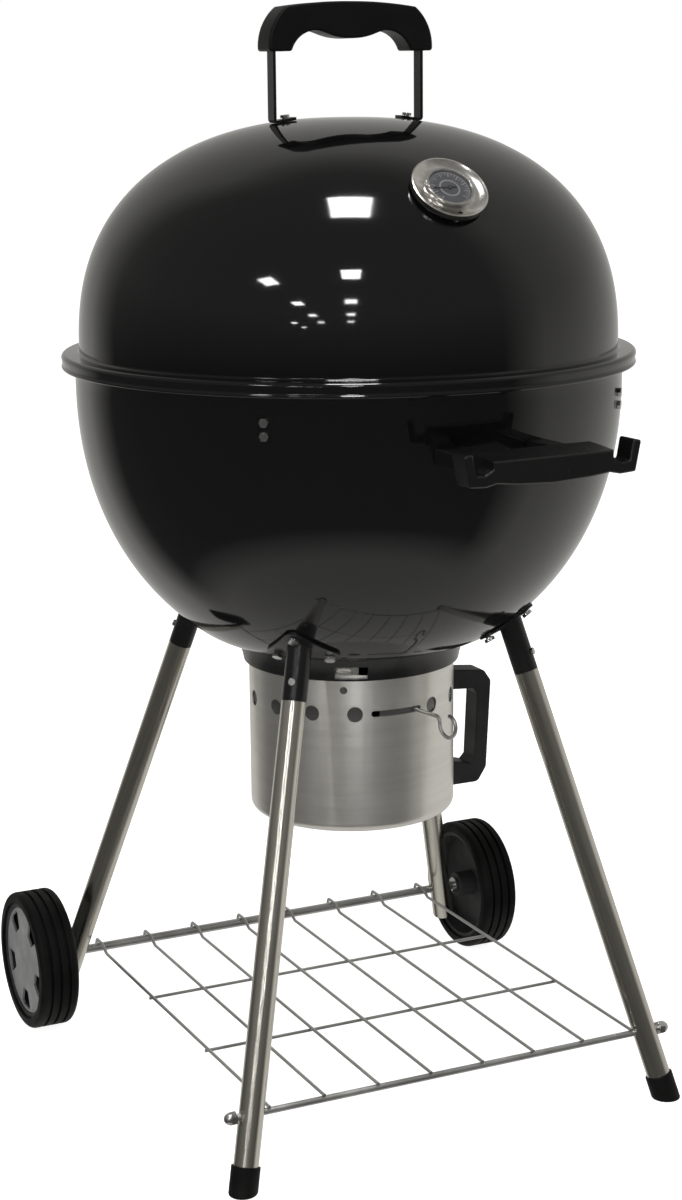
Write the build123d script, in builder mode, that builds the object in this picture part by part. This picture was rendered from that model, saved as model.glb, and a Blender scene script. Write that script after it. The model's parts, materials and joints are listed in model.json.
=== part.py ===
from build123d import *
from math import atan2, cos, degrees, radians, sin, sqrt
import os

# Kettle charcoal grill on four splayed legs. Millimetres, +Z up, front is -Y, ground at z = 0.

# Placement: the kettle's axis stands this far behind the middle of the footprint.
KETTLE_Y = 33.8

# The kettle and its handle face this many degrees to the right of the legs' front.
KETTLE_TURN = 3.0

# Bowl
BOWL_R = 286.0
BOWL_EQUATOR = 765.0
BOWL_DEPTH = 311.0
BOWL_POWER = 2.16
BOWL_WALL = 2.0
BOWL_CURVE_LOW = 505.0
BOWL_DISH_R = 125.0
BOWL_DISH_Z = 487.5
BOWL_MOUTH_R = 85.0
BOWL_MOUTH_Z = 481.5
BEAD_R = 291.2
BEAD_Z = 787.6
BEAD_SIZE = 4.6

# Lid
LID_R = 281.4
LID_BASE = 799.0
LID_HEIGHT = 232.0
LID_POWER = 2.37
LID_WALL = 2.0
FLANGE_R = 300.0
FLANGE_TOP = 794.8
FLANGE_LOW = 779.6

# Legs
TUBE_R = 12.7
TUBE_WALL = 1.5
LEG_TOP_Z = 500.0
FRONT_TOP = (124.4, -135.1)
FRONT_FOOT = (247.0, -255.6)
REAR_TOP = (131.4, 130.6)
REAR_FOOT = (261.5, 270.0)
SHOULDER_Z = 460.5
NECK_R = 10.9
NECK_TOP_Z = 498.0
FRONT_CUT_Z = 9.6
REAR_CUT_Z = 41.0
SOCKET_BORE = 11.2
CAP_R = 14.7
CAP_TOP_Z = 25.5

# Wheels and axle
AXLE_R = 5.0
AXLE_Y = 248.0
WHEEL_R = 78.7
WHEEL_OUT = 307.3
WHEEL_WIDTH = 45.0
HUB_R = 66.8
RUN_GAP = 0.05

# Shelf
ROD_R = 3.5
ROD_Z = 73.0
SHELF_WIRE_R = 1.75
SHELF_PITCH = 60.2
SHELF_WIRES = 8
SHELF_FRONT = -241.5
FRONT_ROD_Y = -238.0
FRONT_ROD_X = 252.0

# Ash bucket
BUCKET_R = 110.5
BUCKET_WALL = 1.2
BUCKET_LOW = 294.8
BUCKET_TOP = 466.5
VENT_Z = 424.4
VENT_PITCH = 24.0
VENT_HOLE_R = 8.25
VENT_TURNS = [VENT_PITCH * k for k in range(1, 15)]
SLOT_RISE = 3.2
SLOT_HALF = 13.5
SMALL_HOLE_R = 2.3
LEVER_TURN = 11.0
CLIP_TURNS = (-30.0, 90.0, 210.0)
RIVET_Z = 451.0

# Handles
GRIP_HALF = 92.0
STRAP_X = 83.4
BAR_FRONT = 390.0
BAR_BACK = 351.0
GAP = 0.3

os.makedirs("parts", exist_ok=True)

AXIS = Axis((0, KETTLE_Y, 0), (0, 0, 1))
SECTION = Plane(origin=(0, KETTLE_Y, 0), x_dir=(1, 0, 0), z_dir=(0, -1, 0))


TURN_SIN = sin(radians(KETTLE_TURN))
TURN_COS = cos(radians(KETTLE_TURN))
FACING = Plane(origin=(0, KETTLE_Y, 0), x_dir=(TURN_COS, TURN_SIN, 0), z_dir=(TURN_SIN, -TURN_COS, 0))
ALONG = Plane(origin=(0, KETTLE_Y, 0), x_dir=(-TURN_SIN, TURN_COS, 0), z_dir=(TURN_COS, TURN_SIN, 0))


def level(z):
    return Plane(origin=(0, KETTLE_Y, z))


def place(radius, azimuth, z):
    a = radians(azimuth)
    return Vector(radius * sin(a), KETTLE_Y - radius * cos(a), z)


def ray(azimuth, z):
    """A plane on the kettle's axis at a height, facing outwards at an azimuth."""
    return Plane(place(0, 0, z), z_dir=place(1, azimuth, 0) - place(0, 0, 0))


def bowl_radius(z, grow=0.0):
    share = (BOWL_EQUATOR - z) / (BOWL_DEPTH + grow)
    return (BOWL_R + grow) * (1 - share**BOWL_POWER) ** (1 / BOWL_POWER)


def bowl_plane(azimuth, z):
    r = bowl_radius(z)
    out = (r / BOWL_R) ** (BOWL_POWER - 1) / BOWL_R
    down = ((BOWL_EQUATOR - z) / BOWL_DEPTH) ** (BOWL_POWER - 1) / BOWL_DEPTH
    a = radians(azimuth)
    normal = (out * sin(a), -out * cos(a), -down)
    return Plane(origin=place(r, azimuth, z), x_dir=(cos(a), sin(a), 0), z_dir=normal)


def lid_height(radius, grow=0.0):
    share = radius / (LID_R + grow)
    return LID_BASE + (LID_HEIGHT + grow) * (1 - share**LID_POWER) ** (1 / LID_POWER)


def lid_plane(azimuth, radius):
    z = lid_height(radius)
    out = (radius / LID_R) ** (LID_POWER - 1) / LID_R
    up = ((z - LID_BASE) / LID_HEIGHT) ** (LID_POWER - 1) / LID_HEIGHT
    a = radians(azimuth)
    normal = (out * sin(a), -out * cos(a), up)
    return Plane(origin=place(radius, azimuth, z), x_dir=(cos(a), sin(a), 0), z_dir=normal)


def bowl_curve(grow):
    steps = 9
    heights = [BOWL_EQUATOR + (BOWL_CURVE_LOW - BOWL_EQUATOR) * k / steps for k in range(steps + 1)]
    curve = [(bowl_radius(z, grow), z) for z in heights]
    curve.append((BOWL_DISH_R, BOWL_DISH_Z - grow))
    curve.append((BOWL_MOUTH_R, BOWL_MOUTH_Z - grow))
    return curve


def bowl_core(grow):
    with BuildPart() as core:
        with BuildSketch(SECTION):
            with BuildLine():
                points = bowl_curve(grow)
                Spline(*points)
                low = (0, points[-1][1])
                Polyline(points[-1], low, (0, FLANGE_TOP), (points[0][0], FLANGE_TOP), points[0])
            make_face()
        revolve(axis=AXIS)
    return core.part


def lid_curve(grow):
    steps = 10
    radii = [(LID_R + grow) * sin(radians(90) * k / steps) for k in range(steps + 1)]
    return [(r, lid_height(r, grow)) for r in radii]


class Leg:
    def __init__(self, top, foot, side):
        self.top = Vector(side * top[0], KETTLE_Y + top[1], LEG_TOP_Z)
        self.foot = Vector(side * foot[0], KETTLE_Y + foot[1], 0)
        self.up = (self.top - self.foot).normalized()
        self.azimuth = degrees(atan2(side * top[0], -top[1]))

    def at(self, z):
        return self.foot + (self.top - self.foot) * (z / LEG_TOP_Z)

    def plane(self, z):
        return Plane(origin=self.at(z), z_dir=self.up)

    def side(self, z):
        a = radians(self.azimuth)
        outward = Vector(sin(a), -cos(a), 0)
        return Plane(origin=self.at(z), z_dir=outward - self.up * outward.dot(self.up))


LEGS = {
    "front_left": Leg(FRONT_TOP, FRONT_FOOT, -1),
    "front_right": Leg(FRONT_TOP, FRONT_FOOT, 1),
    "rear_left": Leg(REAR_TOP, REAR_FOOT, -1),
    "rear_right": Leg(REAR_TOP, REAR_FOOT, 1),
}

# Bolt seats on the bowl
PLATE_TOP_Z = 526.0
PLATE_SIDE_Z = 502.5
PLATE_SIDE_TURN = 9.5
BOLT_R = 3.0
HOLE_R = 3.3
BRACKET_TURNS = [KETTLE_TURN + 90 * k - 45 for k in range(4)]
BRACKET_BOLT_Z = (755.0, 742.0)
HANDLE_X = 50.0
HANDLE_Z = 721.0


def socket_seats(leg):
    return [
        bowl_plane(leg.azimuth, PLATE_TOP_Z),
        bowl_plane(leg.azimuth - PLATE_SIDE_TURN, PLATE_SIDE_Z),
        bowl_plane(leg.azimuth + PLATE_SIDE_TURN, PLATE_SIDE_Z),
    ]


SOCKET_SEATS = [seat for leg in LEGS.values() for seat in socket_seats(leg)]
BRACKET_SEATS = [bowl_plane(turn, z) for turn in BRACKET_TURNS for z in BRACKET_BOLT_Z]
HANDLE_TURN = degrees(atan2(HANDLE_X, sqrt(bowl_radius(HANDLE_Z) ** 2 - HANDLE_X**2)))
HANDLE_WALL_R = bowl_radius(HANDLE_Z)
BAR_SEATS = [
    Plane(
        origin=place(HANDLE_WALL_R, side * HANDLE_TURN + KETTLE_TURN, HANDLE_Z),
        x_dir=FACING.x_dir,
        z_dir=FACING.z_dir,
    )
    for side in (-1, 1)
]


def bolt(seat, head_from, head_high, head_r, shank_to, nut_from, nut_high):
    """A hex bolt along the seat's normal, with its nut on the far side of the wall."""
    with BuildPart() as fastener:
        with BuildSketch(seat.offset(head_from)):
            RegularPolygon(radius=head_r, side_count=6)
        extrude(amount=head_high)
        with BuildSketch(seat.offset(head_from)):
            Circle(BOLT_R)
        extrude(amount=shank_to - head_from)
        with BuildSketch(seat.offset(nut_from)):
            RegularPolygon(radius=head_r, side_count=6)
        extrude(amount=-nut_high)
    return fastener.part


# The full bowl's outside, at the gaps where brackets and plates lie on it
PLATE_NEAR = 0.25
PLATE_FAR = 2.8
core_near = bowl_core(PLATE_NEAR)
core_far = bowl_core(PLATE_FAR)


# ---- Bowl ----
with BuildPart() as bowl_shell:
    with BuildSketch(SECTION):
        with BuildLine():
            outer = bowl_curve(0.0)
            inner = bowl_curve(-BOWL_WALL)
            Spline(*outer)
            Line(outer[-1], inner[-1])
            Spline(*inner)
            Polyline(
                inner[0],
                (BOWL_R - BOWL_WALL, BEAD_Z),
                (BOWL_R, BEAD_Z),
                outer[0],
            )
        make_face()
        with Locations((BEAD_R, BEAD_Z)):
            Circle(BEAD_SIZE)
        with Locations((BEAD_R - BEAD_SIZE, BEAD_Z)):
            Rectangle(5.0, 3.0)
    revolve(axis=AXIS)
    for seat in SOCKET_SEATS + BRACKET_SEATS + BAR_SEATS:
        with BuildSketch(seat.offset(-12)):
            Circle(HOLE_R)
        extrude(amount=24, mode=Mode.SUBTRACT)
bowl_shell.part.label = "bowl_shell"
export_step(bowl_shell.part, "parts/bowl_shell.step")

# ---- Collar that holds the ash bucket ----
COLLAR_TOP_R = 125.0
COLLAR_LOW_R = 116.0
COLLAR_LOW_Z = 461.8
COLLAR_TOP_Z = 486.0
COLLAR_WALL = 2.0
WINDOW_START = -4.5
WINDOW_SPAN = radians(17.0)
WINDOW_REACH = 150.0
WINDOW_LOW = 464.0
WINDOW_TOP = 477.6
with BuildPart() as bowl_collar:
    with BuildSketch(SECTION):
        with BuildLine():
            Spline((COLLAR_TOP_R, COLLAR_TOP_Z), (119.0, 474.0), (COLLAR_LOW_R, COLLAR_LOW_Z))
            Line((COLLAR_LOW_R, COLLAR_LOW_Z), (COLLAR_LOW_R - COLLAR_WALL, COLLAR_LOW_Z))
            Spline(
                (COLLAR_LOW_R - COLLAR_WALL, COLLAR_LOW_Z),
                (119.0 - COLLAR_WALL, 474.0),
                (COLLAR_TOP_R - COLLAR_WALL, COLLAR_TOP_Z),
            )
            Line((COLLAR_TOP_R - COLLAR_WALL, COLLAR_TOP_Z), (COLLAR_TOP_R, COLLAR_TOP_Z))
        make_face()
    revolve(axis=AXIS)
    for turn in CLIP_TURNS:
        with BuildSketch(level(WINDOW_LOW)):
            with Locations(Rotation(0, 0, turn + WINDOW_START)):
                far = (WINDOW_REACH * sin(WINDOW_SPAN), -WINDOW_REACH * cos(WINDOW_SPAN))
                Polygon((0, 0), (0, -WINDOW_REACH), far, align=None)
        extrude(amount=WINDOW_TOP - WINDOW_LOW, mode=Mode.SUBTRACT)
bowl_collar.part.label = "bowl_collar"
export_step(bowl_collar.part, "parts/bowl_collar.step")

# ---- Bowl handle with a tool hook at each end ----
BAR_TOP = 735.0
BAR_FACE_TOP = 731.5
BAR_HALF = 66.0
HOOK_CUT = 16.0
with BuildPart() as bowl_handle:
    with BuildSketch(FACING.offset(BAR_BACK)):
        with BuildLine():
            Polyline(
                (0, 706.5),
                (40, 708.5),
                (62, 711),
                (74, 708.5),
                (91, 709.5),
                (97, 738.5),
                (88, 740.5),
                (84, 720),
                (75, 719.5),
                (BAR_HALF, 724.5),
                (BAR_HALF, BAR_TOP),
                (0, BAR_TOP),
            )
            mirror(about=Plane.YZ)
        hook_face = make_face()
        fillet(hook_face.vertices().filter_by(lambda v: abs(v.X) > 64), radius=2.4)
    extrude(amount=BAR_FRONT - BAR_BACK)
    with BuildSketch(ALONG):
        with BuildLine():
            front = -BAR_FRONT - 1
            Polyline((front, BAR_FACE_TOP), (-BAR_BACK, BAR_TOP), (front, BAR_TOP), close=True)
        make_face()
    extrude(amount=BAR_HALF + 1, both=True, mode=Mode.SUBTRACT)
    face_edges = bowl_handle.faces().sort_by(Axis.Y)[0].edges()
    chamfer(face_edges, length=1.4)
    with BuildSketch(FACING.offset(BAR_BACK)):
        with Locations((-HANDLE_X, HANDLE_Z), (HANDLE_X, HANDLE_Z)):
            Circle(HOLE_R)
        with Locations((-BAR_HALF - 18, BAR_TOP - 12), (BAR_HALF + 18, BAR_TOP - 12)):
            Rectangle(34, 50)
    extrude(amount=HOOK_CUT, mode=Mode.SUBTRACT)
bowl_handle.part.label = "bowl_handle"
export_step(bowl_handle.part, "parts/bowl_handle.step")

# ---- Handle brackets: a channel from the bowl wall to the bar ----
BRACKET_WIDE = 24.0
BRACKET_HIGH = 16.0
HANDLE_BOLT = 88.0
for name, side in (("handle_bracket_left", -1), ("handle_bracket_right", 1)):
    with BuildPart() as handle_bracket:
        with BuildSketch(FACING.offset(BAR_BACK - GAP)):
            with Locations((side * HANDLE_X, HANDLE_Z)):
                RectangleRounded(BRACKET_WIDE, BRACKET_HIGH, 3.0)
                Circle(HOLE_R, mode=Mode.SUBTRACT)
        extrude(amount=-80)
        with BuildSketch(level(HANDLE_Z - BRACKET_WIDE)):
            Circle(bowl_radius(HANDLE_Z + BRACKET_WIDE / 2) + GAP)
        extrude(amount=2 * BRACKET_WIDE, mode=Mode.SUBTRACT)
    handle_bracket.part.label = name
    export_step(handle_bracket.part, f"parts/{name}.step")

with BuildPart() as handle_bolts:
    for seat in BAR_SEATS:
        with BuildSketch(seat.offset(-6.5)):
            RegularPolygon(radius=6.0, side_count=6)
        extrude(amount=-4.5)
        with BuildSketch(seat.offset(-6.6)):
            Circle(BOLT_R)
        extrude(amount=HANDLE_BOLT)
handle_bolts.part.label = "handle_bolts"
export_step(handle_bolts.part, "parts/handle_bolts.step")

# ---- Brackets that carry the cooking grate ----
SHELF_Z = 733.0
for name, turn in zip(("front_left", "front_right", "rear_right", "rear_left"), BRACKET_TURNS):
    with BuildPart() as grate_bracket:
        inner_r = BOWL_R - BOWL_WALL
        hang = Plane(origin=(0, KETTLE_Y, SHELF_Z), x_dir=(cos(radians(turn)), sin(radians(turn)), 0))
        with BuildSketch(hang):
            Circle(inner_r - 1.4)
            Circle(inner_r - 4.0, mode=Mode.SUBTRACT)
            with Locations((0, -inner_r)):
                Rectangle(26, 60, mode=Mode.INTERSECT)
        extrude(amount=30)
        with BuildSketch(hang):
            with Locations((0, -inner_r + 16)):
                Rectangle(26, 25)
        extrude(amount=2.6)
        for z in BRACKET_BOLT_Z:
            with BuildSketch(bowl_plane(turn, z).offset(-14)):
                Circle(HOLE_R)
            extrude(amount=20, mode=Mode.SUBTRACT)
    label = f"grate_bracket_{name}"
    grate_bracket.part.label = label
    export_step(grate_bracket.part, f"parts/{label}.step")

bolts = [bolt(seat, 0.3, 3.4, 4.8, -11.5, -7.2, 3.2) for seat in BRACKET_SEATS]
with BuildPart() as grate_bracket_bolts:
    add(bolts)
grate_bracket_bolts.part.label = "grate_bracket_bolts"
export_step(grate_bracket_bolts.part, "parts/grate_bracket_bolts.step")

# ---- Leg sockets: a tube and a three-bolt plate on the bowl ----
LOCK_Z = 478.0


def socket_plate(leg):
    with BuildPart() as plate:
        seat = bowl_plane(leg.azimuth, (PLATE_TOP_Z + PLATE_SIDE_Z) / 2 + 1)
        with BuildSketch(seat.offset(-22)):
            with Locations((0, 16), (-27.3, -20), (27.3, -20)):
                Circle(11)
            make_hull()
        extrude(amount=44)
        add(core_far, mode=Mode.INTERSECT)
        add(core_near, mode=Mode.SUBTRACT)
    return plate.part


for name, leg in LEGS.items():
    flange_plate = socket_plate(leg)
    with BuildPart() as leg_socket:
        with BuildSketch(leg.plane(SHOULDER_Z + 0.3)):
            Circle(TUBE_R)
        extrude(amount=95)
        add(core_near, mode=Mode.SUBTRACT)
        add(flange_plate)
        with BuildSketch(leg.plane(SHOULDER_Z - 5)):
            Circle(SOCKET_BORE)
        extrude(amount=NECK_TOP_Z - SHOULDER_Z + 8, mode=Mode.SUBTRACT)
        for seat in socket_seats(leg):
            with BuildSketch(seat.offset(-8)):
                Circle(HOLE_R)
            extrude(amount=22, mode=Mode.SUBTRACT)
        with BuildSketch(leg.side(LOCK_Z)):
            Circle(HOLE_R)
        extrude(amount=20, mode=Mode.SUBTRACT)
    label = f"leg_socket_{name}"
    leg_socket.part.label = label
    export_step(leg_socket.part, f"parts/{label}.step")

bolts = [bolt(seat, PLATE_FAR + 0.8, 3.6, 5.6, -8.0, -3.3, 3.6) for seat in SOCKET_SEATS]
with BuildPart() as socket_bolts:
    add(bolts)
socket_bolts.part.label = "socket_bolts"
export_step(socket_bolts.part, "parts/socket_bolts.step")

with BuildPart() as socket_lock_screws:
    for leg in LEGS.values():
        with BuildSketch(leg.side(LOCK_Z).offset(NECK_R + 0.2)):
            Circle(BOLT_R)
        extrude(amount=3.2)
        with BuildSketch(leg.side(LOCK_Z).offset(TUBE_R + 0.2)):
            Circle(3.6)
        extrude(amount=2.2)
socket_lock_screws.part.label = "socket_lock_screws"
export_step(socket_lock_screws.part, "parts/socket_lock_screws.step")

# ---- Legs ----
ROD_CLEAR = 0.2
for name, leg in LEGS.items():
    front = name.startswith("front")
    foot_z = FRONT_CUT_Z if front else REAR_CUT_Z
    length = (leg.at(SHOULDER_Z) - leg.at(foot_z)).length
    with BuildPart() as leg_tube:
        with BuildSketch(leg.plane(foot_z)):
            Circle(TUBE_R)
        extrude(amount=length)
        with BuildSketch(leg.plane(SHOULDER_Z)):
            Circle(NECK_R)
        extrude(amount=NECK_TOP_Z - SHOULDER_Z)
        with BuildSketch(leg.plane(foot_z)):
            Circle(TUBE_R - TUBE_WALL)
        extrude(amount=length - 12, mode=Mode.SUBTRACT)
        with BuildSketch(leg.plane(foot_z)):
            Circle(NECK_R - TUBE_WALL)
        extrude(amount=length + 60, mode=Mode.SUBTRACT)
        cross = (ROD_Z, KETTLE_Y + FRONT_ROD_Y, ROD_R) if front else (WHEEL_R, KETTLE_Y + AXLE_Y, AXLE_R)
        with BuildSketch(Plane(origin=(leg.foot.X / 2, cross[1], cross[0]), z_dir=(1, 0, 0))):
            Circle(cross[2] + ROD_CLEAR)
        extrude(amount=200, both=True, mode=Mode.SUBTRACT)
    label = f"leg_{name}"
    leg_tube.part.label = label
    export_step(leg_tube.part, f"parts/{label}.step")

for name in ("front_left", "front_right"):
    leg = LEGS[name]
    with BuildPart() as foot_cap:
        with BuildSketch(leg.plane(-CAP_R)):
            Circle(CAP_R)
        extrude(amount=(leg.at(CAP_TOP_Z) - leg.at(-CAP_R)).length)
        with BuildSketch(leg.plane(FRONT_CUT_Z - 0.3)):
            Circle(TUBE_R + 0.2)
        extrude(amount=60, mode=Mode.SUBTRACT)
        split(bisect_by=Plane.XY, keep=Keep.TOP)
        fillet(foot_cap.faces().sort_by(Axis.Z)[0].edges(), radius=1.8)
    label = f"foot_cap_{name}"
    foot_cap.part.label = label
    export_step(foot_cap.part, f"parts/{label}.step")

# ---- Shelf between the legs ----
with BuildPart() as shelf_front_rod:
    with BuildSketch(Plane(origin=(0, KETTLE_Y + FRONT_ROD_Y, ROD_Z), z_dir=(1, 0, 0))):
        Circle(ROD_R)
    extrude(amount=FRONT_ROD_X, both=True)
shelf_front_rod.part.label = "shelf_front_rod"
export_step(shelf_front_rod.part, "parts/shelf_front_rod.step")

NUT_HIGH = 6.0
NUT_DOME = 6.2
NUT_IN = FRONT_ROD_X - NUT_HIGH
with BuildPart() as shelf_rod_nuts:
    for side in (-1, 1):
        with BuildSketch(Plane(origin=(side * NUT_IN, KETTLE_Y + FRONT_ROD_Y, ROD_Z), z_dir=(side, 0, 0))):
            RegularPolygon(radius=7.4, side_count=6)
            Circle(ROD_R + 0.05, mode=Mode.SUBTRACT)
        extrude(amount=NUT_HIGH)
        tip = (side * FRONT_ROD_X, KETTLE_Y + FRONT_ROD_Y, ROD_Z)
        with BuildSketch(Plane(origin=tip, x_dir=(side, 0, 0), z_dir=(0, -side, 0))):
            with BuildLine():
                Line((0.05, 0), (0.05, NUT_DOME))
                CenterArc((0.05, 0), NUT_DOME, 90, -90)
                Line((0.05 + NUT_DOME, 0), (0.05, 0))
            make_face()
        revolve(axis=Axis((0, KETTLE_Y + FRONT_ROD_Y, ROD_Z), (1, 0, 0)))
shelf_rod_nuts.part.label = "shelf_rod_nuts"
export_step(shelf_rod_nuts.part, "parts/shelf_rod_nuts.step")

WELD_DEPTH = 0.4
CROSS_WIRE_Y = (-79.0, 82.0)
HOOK_RISE = WHEEL_R + AXLE_R + SHELF_WIRE_R + 0.3
with BuildPart() as shelf_grid:
    low = ROD_Z + ROD_R + SHELF_WIRE_R + 0.05
    half = SHELF_PITCH * (SHELF_WIRES - 1) / 2
    for k in range(SHELF_WIRES):
        x = -half + SHELF_PITCH * k
        with BuildLine() as wire:
            FilletPolyline(
                (x, KETTLE_Y + SHELF_FRONT, low),
                (x, KETTLE_Y + AXLE_Y - 24, low),
                (x, KETTLE_Y + AXLE_Y - 9, HOOK_RISE),
                (x, KETTLE_Y + AXLE_Y + 8.5, HOOK_RISE),
                (x, KETTLE_Y + AXLE_Y + 11, WHEEL_R - 1),
                radius=3.0,
            )
        with BuildSketch(Plane(origin=wire.line @ 0, z_dir=wire.line % 0)):
            Circle(SHELF_WIRE_R)
        sweep(path=wire.line)
    for y in CROSS_WIRE_Y:
        beneath = (0, KETTLE_Y + y, low - 2 * SHELF_WIRE_R + WELD_DEPTH)
        with BuildSketch(Plane(origin=beneath, z_dir=(1, 0, 0))):
            Circle(SHELF_WIRE_R)
        extrude(amount=half + SHELF_WIRE_R, both=True)
shelf_grid.part.label = "shelf_grid"
export_step(shelf_grid.part, "parts/shelf_grid.step")

# ---- Axle and wheels ----
CAP_IN = WHEEL_OUT - 10.9
CAP_LONG = 3.0
with BuildPart() as wheel_axle:
    with BuildSketch(Plane(origin=(0, KETTLE_Y + AXLE_Y, WHEEL_R), z_dir=(1, 0, 0))):
        Circle(AXLE_R)
    extrude(amount=CAP_IN + 2.2, both=True)
wheel_axle.part.label = "wheel_axle"
export_step(wheel_axle.part, "parts/wheel_axle.step")

WHEEL_IN = WHEEL_OUT - WHEEL_WIDTH
SPACER_GAP = 0.4
SPACER_R = 9.5
SPACER_LONG = 2.5
with BuildPart() as axle_spacers:
    for side in (-1, 1):
        inboard = (side * (WHEEL_IN - SPACER_GAP), KETTLE_Y + AXLE_Y, WHEEL_R)
        with BuildSketch(Plane(origin=inboard, z_dir=(-side, 0, 0))):
            Circle(SPACER_R)
            Circle(AXLE_R + RUN_GAP, mode=Mode.SUBTRACT)
        extrude(amount=SPACER_LONG)
axle_spacers.part.label = "axle_spacers"
export_step(axle_spacers.part, "parts/axle_spacers.step")

with BuildPart() as axle_caps:
    for side in (-1, 1):
        with BuildSketch(Plane(origin=(side * CAP_IN, KETTLE_Y + AXLE_Y, WHEEL_R), z_dir=(side, 0, 0))):
            Circle(10.5)
        extrude(amount=CAP_LONG)
    chamfer(axle_caps.edges().group_by(Axis.X)[0], length=0.5)
    chamfer(axle_caps.edges().group_by(Axis.X)[-1], length=0.5)
    with BuildSketch(Plane(origin=(0, KETTLE_Y + AXLE_Y, WHEEL_R), z_dir=(1, 0, 0))):
        Circle(AXLE_R + RUN_GAP)
    extrude(amount=CAP_IN + 2.3, both=True, mode=Mode.SUBTRACT)
axle_caps.part.label = "axle_caps"
export_step(axle_caps.part, "parts/axle_caps.step")

GROOVE_DEEP = 3.0
GROOVE_WIDE = 3.4
GROOVE_PITCH = 10.6
HUB_INSET = 3.5
HUB_WINDOWS = 5
BOSS_R = 15.0
BOSS_INSET = 7.8
WEB_INSET = 14.0
COVER_INSET = 1.0
COVER_THICK = 2.6
for name, side in (("left", -1), ("right", 1)):
    spin = Axis((0, KETTLE_Y + AXLE_Y, WHEEL_R), (1, 0, 0))
    middle = side * (WHEEL_OUT - WHEEL_WIDTH / 2)
    cut = Plane(origin=(0, KETTLE_Y + AXLE_Y, WHEEL_R), x_dir=(1, 0, 0), z_dir=(0, -1, 0))
    with BuildPart() as tyre:
        with BuildSketch(cut):
            with Locations((middle, (WHEEL_R + HUB_R) / 2 + 0.1)):
                body = Rectangle(WHEEL_WIDTH, WHEEL_R - HUB_R - 0.2)
            fillet(body.vertices().group_by(Axis.Y)[-1], radius=6.0)
            with Locations(*[(middle + k * GROOVE_PITCH, WHEEL_R) for k in (-1, 0, 1)]):
                Rectangle(GROOVE_WIDE, 2 * GROOVE_DEEP, mode=Mode.SUBTRACT)
        revolve(axis=spin)
    tyre.part.label = f"tyre_{name}"
    export_step(tyre.part, f"parts/tyre_{name}.step")

    hub_front = (side * (WHEEL_OUT - HUB_INSET), KETTLE_Y + AXLE_Y, WHEEL_R)
    outer_face = Plane(origin=hub_front, x_dir=(0, 1, 0), z_dir=(-side, 0, 0))
    with BuildPart() as hub:
        with BuildSketch(outer_face):
            Circle(HUB_R)
            Circle(HUB_R - 5, mode=Mode.SUBTRACT)
        extrude(amount=WHEEL_WIDTH - 7)
        with BuildSketch(outer_face.offset(WEB_INSET)):
            Circle(HUB_R - 3)
        extrude(amount=4)
        with BuildSketch(outer_face.offset(BOSS_INSET)):
            Circle(BOSS_R)
        extrude(amount=WHEEL_WIDTH - HUB_INSET - BOSS_INSET - 0.9)
        with BuildSketch(outer_face):
            Circle(AXLE_R + RUN_GAP)
        extrude(amount=WHEEL_WIDTH, mode=Mode.SUBTRACT)
    hub.part.label = f"hub_{name}"
    export_step(hub.part, f"parts/hub_{name}.step")

    with BuildPart() as hub_cover:
        with BuildSketch(outer_face.offset(COVER_INSET)):
            Circle(HUB_R - 5.2)
            with PolarLocations(0, HUB_WINDOWS, start_angle=side * 90):
                window = ((36, -8), (53, -14), (57, -11), (57, 11), (53, 14), (36, 8))
                Polygon(*window, align=None, mode=Mode.SUBTRACT)
        extrude(amount=COVER_THICK)
        chamfer(hub_cover.edges().filter_by(GeomType.CIRCLE), length=0.8)
    hub_cover.part.label = f"hub_cover_{name}"
    export_step(hub_cover.part, f"parts/hub_cover_{name}.step")

# ---- Lid ----
GAUGE_R = 220.0
GAUGE_STEM = 4.5
DAMPER_R = 150.0
DAMPER_SEAT = 42.0
DAMPER_DISC = 38.0
DAMPER_HOLE = 9.0
DAMPER_PITCH = 23.0
FOOT_SCREW_X = 69.0
gauge_seat = lid_plane(0, GAUGE_R)
damper_seat = lid_plane(180, DAMPER_R)
STRAP_SEATS = [lid_plane(side * 90, FOOT_SCREW_X) for side in (-1, 1)]


def dome_core(grow):
    with BuildPart() as core:
        with BuildSketch(SECTION):
            with BuildLine():
                dome = lid_curve(grow)
                Spline(*dome, tangents=((1, 0), (0, -1)))
                Polyline(dome[-1], (0, LID_BASE), dome[0])
            make_face()
        revolve(axis=AXIS)
    return core.part


dome_inside = dome_core(-LID_WALL)
with BuildPart() as damper_land:
    with BuildSketch(damper_seat.offset(-16)):
        Circle(DAMPER_SEAT)
    extrude(amount=16.5)
    add(dome_inside, mode=Mode.SUBTRACT)
damper_boss = damper_land.part

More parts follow.
